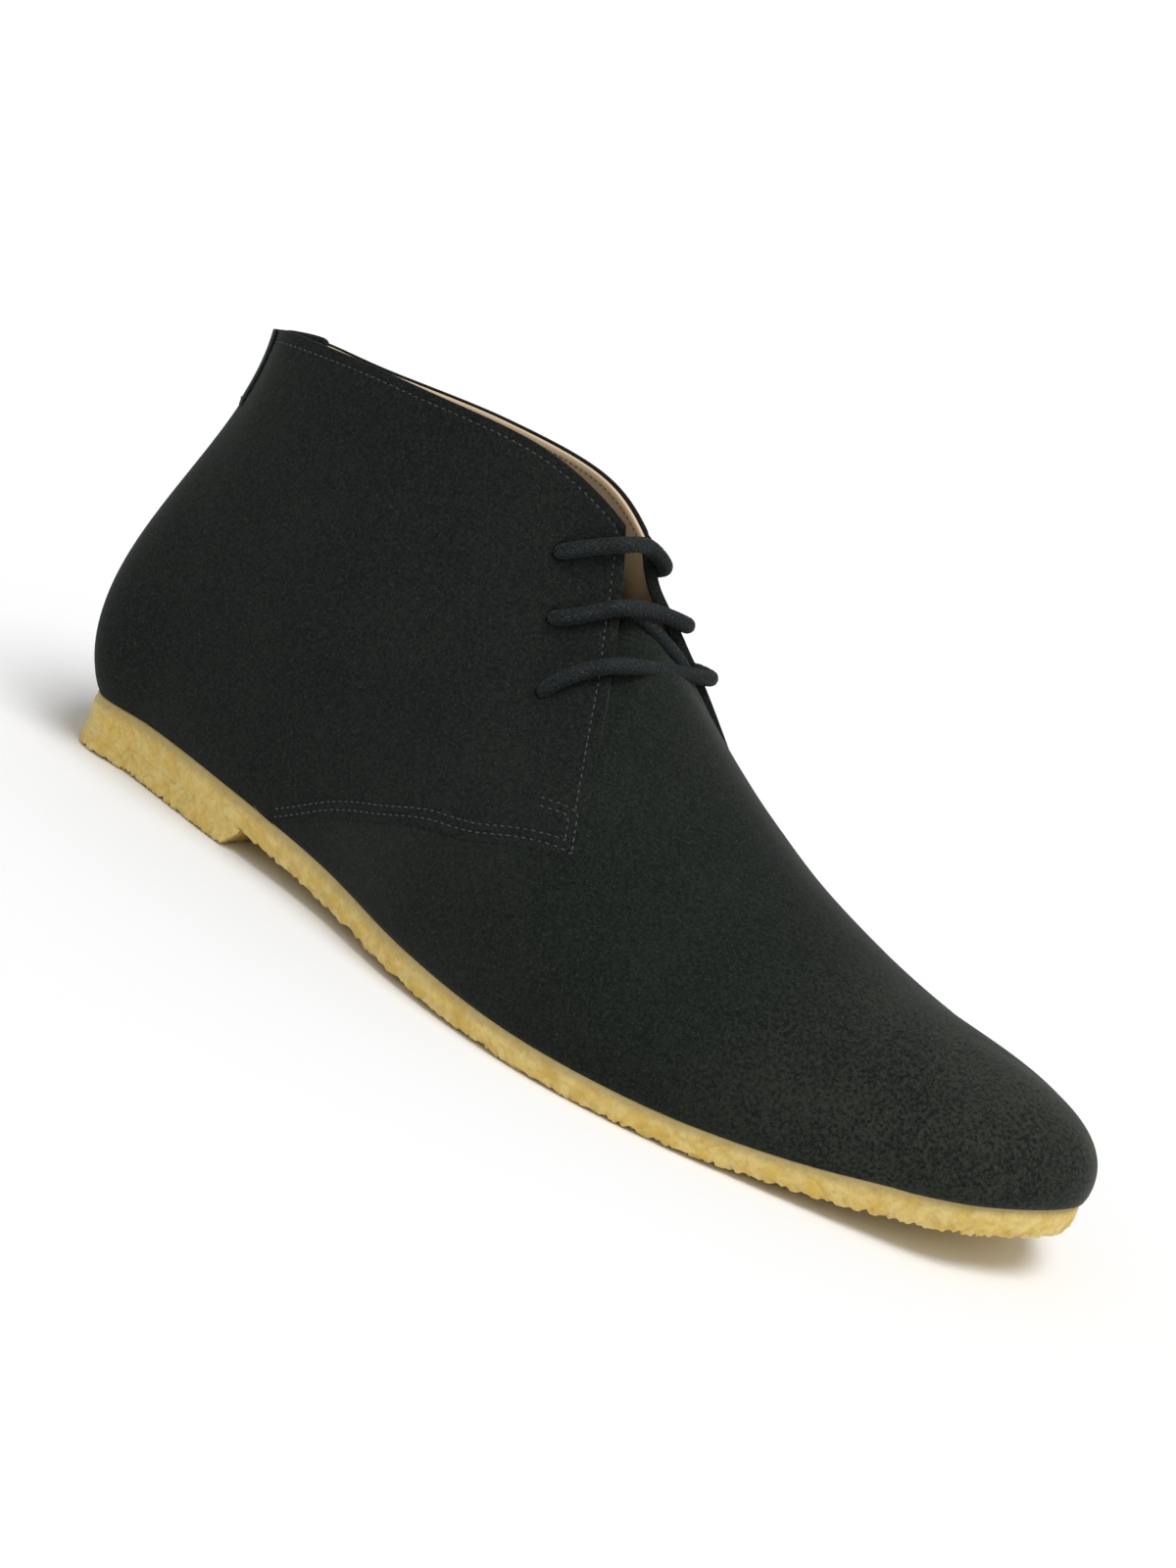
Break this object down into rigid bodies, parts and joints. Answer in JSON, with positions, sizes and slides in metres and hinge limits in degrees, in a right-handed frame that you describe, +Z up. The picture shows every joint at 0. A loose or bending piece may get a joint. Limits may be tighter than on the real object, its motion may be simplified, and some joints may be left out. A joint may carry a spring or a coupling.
{
  "type": "desert boot",
  "caption": "Right ankle-high desert boot: nubuck vamp and quarters over a flat crepe sole with a low heel lift, closed by a round lace through punched holes.",
  "frame": {"origin": "on the floor under the middle of the boot's box", "axes": "+X to the toe, +Y to the medial (inner) side, +Z up from the sole"},
  "size_m": [0.3018, 0.1044, 0.1239],
  "materials": {
    "crepe": "natural plantation crepe, mottled honey colour, nubbly underside",
    "vamp_nubuck": "matt black nubuck, slightly worn to brown-grey on the toe",
    "quarter_nubuck": "matt black nubuck with tonal stitching",
    "lining": "smooth natural tan leather",
    "lace": "round braided waxed cotton cord, blue-black"
  },
  "bodies": {
    "root": {"outsole": "crepe", "heel": "crepe", "insole": "lining", "upper": "vamp_nubuck", "tongue": "vamp_nubuck", "quarter_lateral": "quarter_nubuck", "quarter_medial": "quarter_nubuck", "heel_tab": "quarter_nubuck", "lace_bar_top": "lace", "lace_bar_middle": "lace", "lace_bar_bottom": "lace", "lace_crossing": "lace"}
  },
  "joints": []
}
